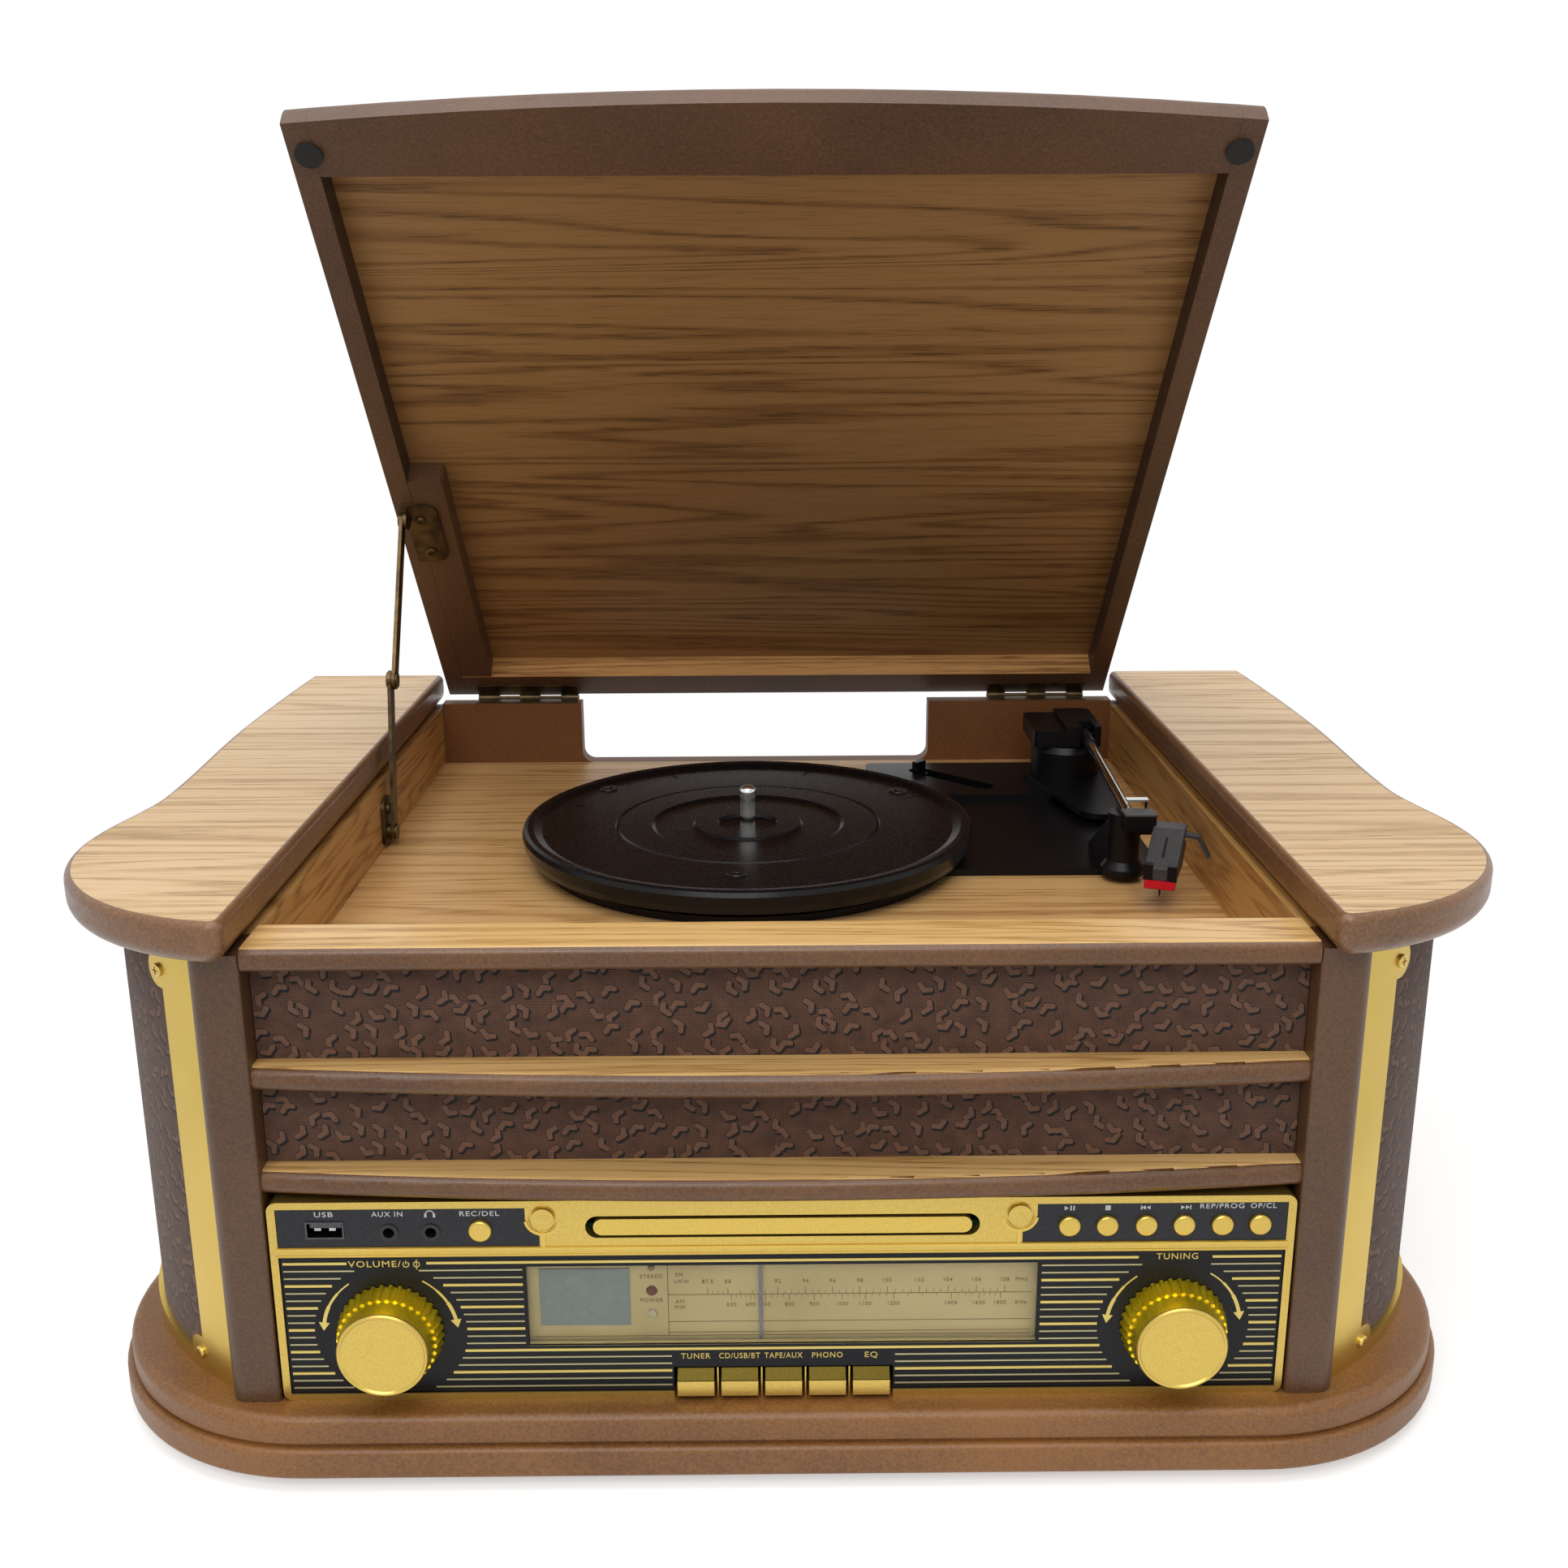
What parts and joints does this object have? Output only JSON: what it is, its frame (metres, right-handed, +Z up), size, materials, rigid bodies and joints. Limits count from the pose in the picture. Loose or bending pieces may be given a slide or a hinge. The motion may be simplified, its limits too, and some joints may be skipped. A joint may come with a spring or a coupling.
{
  "type": "music centre with record player",
  "caption": "Wooden table-top music centre with a turntable under a hinged lid, radio dial, disc slot, knobs, keys and bowed cloth speaker grilles.",
  "frame": {"origin": "on the table under the middle of the whole width and depth, the open lid's rear edge included; this is 6 mm behind the middle of the cabinet's footprint", "axes": "+X to the right seen from the front, +Y to the back, +Z up; the fascia looks along -Y; the lid is open as in the picture"},
  "size_m": [0.502, 0.3824, 0.4663],
  "materials": {
    "oak": "satin oak veneer",
    "brown_wood": "stained and lacquered fibreboard",
    "cloth": "woven grille cloth on board",
    "rubber": "matt",
    "gold_plastic": "gold plated moulding",
    "black_plastic": "fine satin",
    "bronze": "antique bronze plating",
    "steel": "bright",
    "chrome": "polished",
    "clear_pane": "clear window",
    "cream_card": "printed scale",
    "dark_steel": "dark",
    "board_green": "circuit board and housings",
    "red_plastic": "red moulding",
    "paper_black": "speaker cone and magnet"
  },
  "bodies": {
    "cabinet": {"plinth": "brown_wood", "rubber_feet": "rubber", "cabinet_sides": "oak", "back_panel": "brown_wood", "cord_gland": "black_plastic", "record_deck": "oak", "front_top_rail": "oak", "front_slats": "oak", "front_grille": "cloth", "pillars": "brown_wood", "left_wing": "oak", "right_wing": "oak", "side_grilles": "cloth", "side_trims": "gold_plastic", "trim_screws": "steel", "speakers": "paper_black", "electronics": "board_green", "front_bezel": "gold_plastic", "black_inserts": "black_plastic", "front_sockets": "steel", "dial_window": "clear_pane", "dial_scale": "cream_card", "mechanism_plate": "black_plastic", "spindle": "chrome", "motor": "dark_steel", "tonearm_turret": "black_plastic", "arm_rest": "black_plastic", "wall_hinge_leaves": "bronze", "stay_wall_bracket": "bronze"},
    "lid": {"lid_panel": "oak", "lid_rails": "brown_wood", "lid_bumpers": "rubber", "lid_hinge_leaves": "bronze", "stay_lid_bracket": "bronze"},
    "stay_lower": {"stay_lower_arm": "bronze"},
    "stay_upper": {"stay_upper_arm": "bronze"},
    "turning_platter": {"platter": "black_plastic"},
    "pulley": {"motor_pulley": "steel"},
    "arm_block": {"tonearm_carriage": "black_plastic"},
    "arm": {"tonearm_tube": "chrome", "headshell": "black_plastic", "stylus": "red_plastic"},
    "clip": {"rest_clip": "chrome"},
    "selector": {"speed_selector": "black_plastic"},
    "volume": {"volume_knob": "gold_plastic"},
    "tuning": {"tuning_knob": "gold_plastic"},
    "pointer": {"dial_pointer": "steel"},
    "tray": {"cd_tray": "gold_plastic"},
    "record_button_body": {"record_button": "gold_plastic"},
    "play_button_body": {"play_button": "gold_plastic"},
    "stop_button_body": {"stop_button": "gold_plastic"},
    "previous_button_body": {"previous_button": "gold_plastic"},
    "next_button_body": {"next_button": "gold_plastic"},
    "repeat_button_body": {"repeat_button": "gold_plastic"},
    "open_button_body": {"open_button": "gold_plastic"},
    "tuner_key_body": {"tuner_key": "gold_plastic"},
    "disc_key_body": {"disc_key": "gold_plastic"},
    "tape_key_body": {"tape_key": "gold_plastic"},
    "phono_key_body": {"phono_key": "gold_plastic"},
    "tone_key_body": {"tone_key": "gold_plastic"}
  },
  "joints": [
    {"name": "lid_hinge", "type": "hinge", "parent": "cabinet", "child": "lid", "pos_m": [0, 0.1813, 0.1963], "axis": [-1, 0, 0], "range_deg": [-47.2, 0]},
    {"name": "stay_wall_pivot", "type": "hinge", "parent": "cabinet", "child": "stay_lower", "pos_m": [-0.17045, 0.0289, 0.1705], "axis": [1, 0, 0], "range_deg": [0, 100.2]},
    {"name": "stay_lid_pivot", "type": "hinge", "parent": "lid", "child": "stay_upper", "pos_m": [-0.16865, 0.07836, 0.30173], "axis": [1, 0, 0], "range_deg": [-92.1, 0]},
    {"name": "platter_spin", "type": "hinge", "parent": "cabinet", "child": "turning_platter", "pos_m": [-0.0133, 0.0134, 0.175], "axis": [0, 0, -1], "continuous": true},
    {"name": "pulley_spin", "type": "hinge", "parent": "cabinet", "child": "pulley", "pos_m": [0.037, -0.034, 0.171], "axis": [0, 0, -1], "continuous": true},
    {"name": "arm_swing", "type": "hinge", "parent": "cabinet", "child": "arm_block", "pos_m": [0.142, 0.117, 0.19], "axis": [0, 0, -1], "range_deg": [0, 41]},
    {"name": "arm_lift", "type": "hinge", "parent": "arm_block", "child": "arm", "pos_m": [0.1505, 0.112, 0.1916], "axis": [-1, 0, 0], "range_deg": [0, 10]},
    {"name": "clip_hinge", "type": "hinge", "parent": "cabinet", "child": "clip", "pos_m": [0.151, -0.024, 0.1865], "axis": [0, 1, 0], "range_deg": [0, 80]},
    {"name": "speed_slide", "type": "slide", "parent": "cabinet", "child": "selector", "axis": [0.7071, -0.7071, 0], "range_m": [0, 0.041]},
    {"name": "volume_turn", "type": "hinge", "parent": "cabinet", "child": "volume", "pos_m": [-0.1349, -0.184, 0.0544], "axis": [0, 1, 0], "range_deg": [0, 300]},
    {"name": "tuning_turn", "type": "hinge", "parent": "cabinet", "child": "tuning", "pos_m": [0.1344, -0.184, 0.0544], "axis": [0, 1, 0], "range_deg": [-250, 1180]},
    {"name": "pointer_slide", "type": "slide", "parent": "cabinet", "child": "pointer", "axis": [1, 0, 0], "range_m": [-0.018, 0.0833]},
    {"name": "tray_slide", "type": "slide", "parent": "cabinet", "child": "tray", "axis": [0, -1, 0], "range_m": [0, 0.12]},
    {"name": "record_button_press", "type": "slide", "parent": "cabinet", "child": "record_button_body", "axis": [0, 1, 0], "range_m": [0, 0.001], "stiffness_N_per_m": 400},
    {"name": "play_button_press", "type": "slide", "parent": "cabinet", "child": "play_button_body", "axis": [0, 1, 0], "range_m": [0, 0.001], "stiffness_N_per_m": 400},
    {"name": "stop_button_press", "type": "slide", "parent": "cabinet", "child": "stop_button_body", "axis": [0, 1, 0], "range_m": [0, 0.001], "stiffness_N_per_m": 400},
    {"name": "previous_button_press", "type": "slide", "parent": "cabinet", "child": "previous_button_body", "axis": [0, 1, 0], "range_m": [0, 0.001], "stiffness_N_per_m": 400},
    {"name": "next_button_press", "type": "slide", "parent": "cabinet", "child": "next_button_body", "axis": [0, 1, 0], "range_m": [0, 0.001], "stiffness_N_per_m": 400},
    {"name": "repeat_button_press", "type": "slide", "parent": "cabinet", "child": "repeat_button_body", "axis": [0, 1, 0], "range_m": [0, 0.001], "stiffness_N_per_m": 400},
    {"name": "open_button_press", "type": "slide", "parent": "cabinet", "child": "open_button_body", "axis": [0, 1, 0], "range_m": [0, 0.001], "stiffness_N_per_m": 400},
    {"name": "tuner_key_press", "type": "slide", "parent": "cabinet", "child": "tuner_key_body", "axis": [0, 1, 0], "range_m": [0, 0.003], "stiffness_N_per_m": 250},
    {"name": "disc_key_press", "type": "slide", "parent": "cabinet", "child": "disc_key_body", "axis": [0, 1, 0], "range_m": [0, 0.003], "stiffness_N_per_m": 250},
    {"name": "tape_key_press", "type": "slide", "parent": "cabinet", "child": "tape_key_body", "axis": [0, 1, 0], "range_m": [0, 0.003], "stiffness_N_per_m": 250},
    {"name": "phono_key_press", "type": "slide", "parent": "cabinet", "child": "phono_key_body", "axis": [0, 1, 0], "range_m": [0, 0.003], "stiffness_N_per_m": 250},
    {"name": "tone_key_press", "type": "slide", "parent": "cabinet", "child": "tone_key_body", "axis": [0, 1, 0], "range_m": [0, 0.003], "stiffness_N_per_m": 250}
  ],
  "couplings": [
    {"joint": "stay_wall_pivot", "follows": "lid_hinge", "ratio": -2.1198},
    {"joint": "stay_lid_pivot", "follows": "lid_hinge", "ratio": 1.9492},
    {"joint": "pulley_spin", "follows": "platter_spin", "ratio": 14.762},
    {"joint": "arm_lift", "follows": "arm_swing", "ratio": 0.24},
    {"joint": "pointer_slide", "follows": "tuning_turn", "m_per_rad": 0.00403}
  ]
}
